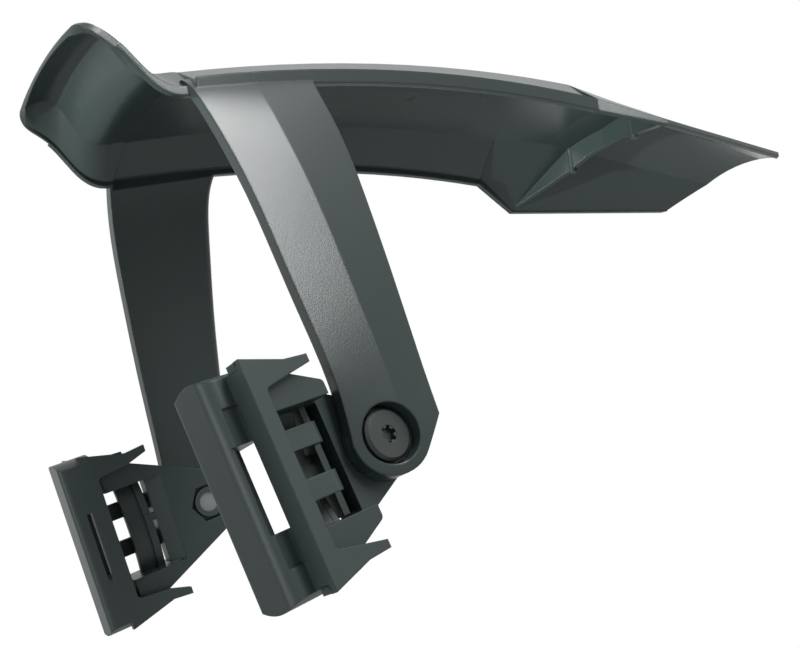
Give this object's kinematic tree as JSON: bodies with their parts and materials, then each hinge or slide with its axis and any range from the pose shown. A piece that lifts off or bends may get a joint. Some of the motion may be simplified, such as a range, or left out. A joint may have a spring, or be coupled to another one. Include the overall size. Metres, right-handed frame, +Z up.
{
  "type": "bicycle mudguard",
  "caption": "Short clip-on mudguard: a channel-shaped blade on two arms, each ending in a hinged bracket that straps to a fork leg.",
  "frame": {"origin": "midway between the two bracket pivots, on the mid plane", "axes": "+X towards the long nose of the blade, +Y to the left, +Z up"},
  "size_m": [0.2755, 0.1348, 0.1705],
  "materials": {
    "blade_plastic": "fine satin",
    "lug_plastic": "satin",
    "clip_plastic": "satin",
    "steel": "zinc plated",
    "nylon": "natural nylon"
  },
  "bodies": {
    "mudguard": {"mudguard_body": "blade_plastic"},
    "bracket_left": {"bracket_lug_left": "lug_plastic", "fork_clip_left": "clip_plastic", "pivot_screw_left": "steel", "screw_washer_left": "steel", "lock_nut_left": "steel", "nut_ring_left": "nylon"},
    "bracket_right": {"bracket_lug_right": "lug_plastic", "fork_clip_right": "clip_plastic", "pivot_screw_right": "steel", "screw_washer_right": "steel", "lock_nut_right": "steel", "nut_ring_right": "nylon"}
  },
  "joints": [
    {"name": "pivot_left", "type": "hinge", "parent": "mudguard", "child": "bracket_left", "pos_m": [0, 0.0512, 0], "axis": [0.079, 0.9899, 0.1178], "range_deg": [-85, 4]},
    {"name": "pivot_right", "type": "hinge", "parent": "mudguard", "child": "bracket_right", "pos_m": [0, -0.0512, 0], "axis": [-0.079, 0.9899, -0.1178], "range_deg": [-85, 4]}
  ]
}
